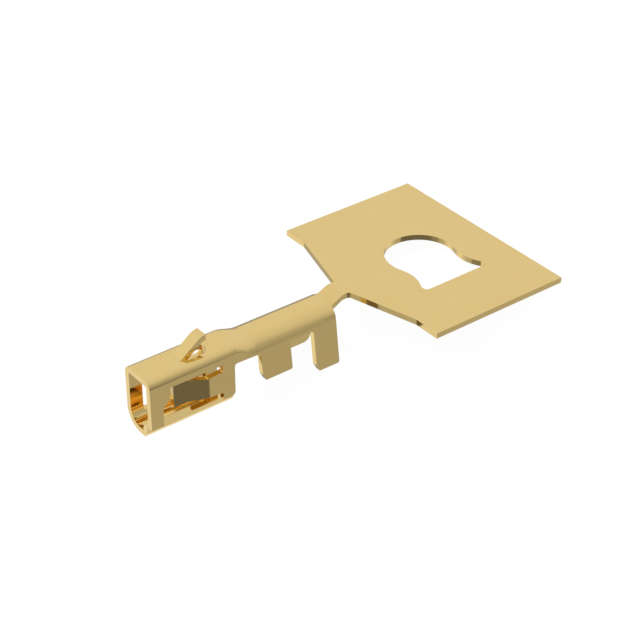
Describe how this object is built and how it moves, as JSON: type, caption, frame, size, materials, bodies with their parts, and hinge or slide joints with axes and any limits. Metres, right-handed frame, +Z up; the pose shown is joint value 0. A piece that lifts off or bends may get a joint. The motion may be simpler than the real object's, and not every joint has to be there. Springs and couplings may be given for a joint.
{
  "type": "crimp socket contact",
  "caption": "Stamped and folded crimp socket contact: a square box with spring windows and a locking lance, open crimp barrels, and a piece of carrier strip with a pilot hole.",
  "frame": {"origin": "under the middle of the part's outline, on the surface it rests on", "axes": "+X from the socket mouth back to the carrier strip, +Z up, +Y to the side away from the seam; the part lies as it comes to rest, tipped back so that its mouth is raised"},
  "size_m": [0.0142, 0.008, 0.004],
  "materials": {
    "contact_metal": "gold plated, bright satin"
  },
  "bodies": {
    "root": {"crimp_socket_contact": "contact_metal"}
  },
  "joints": []
}
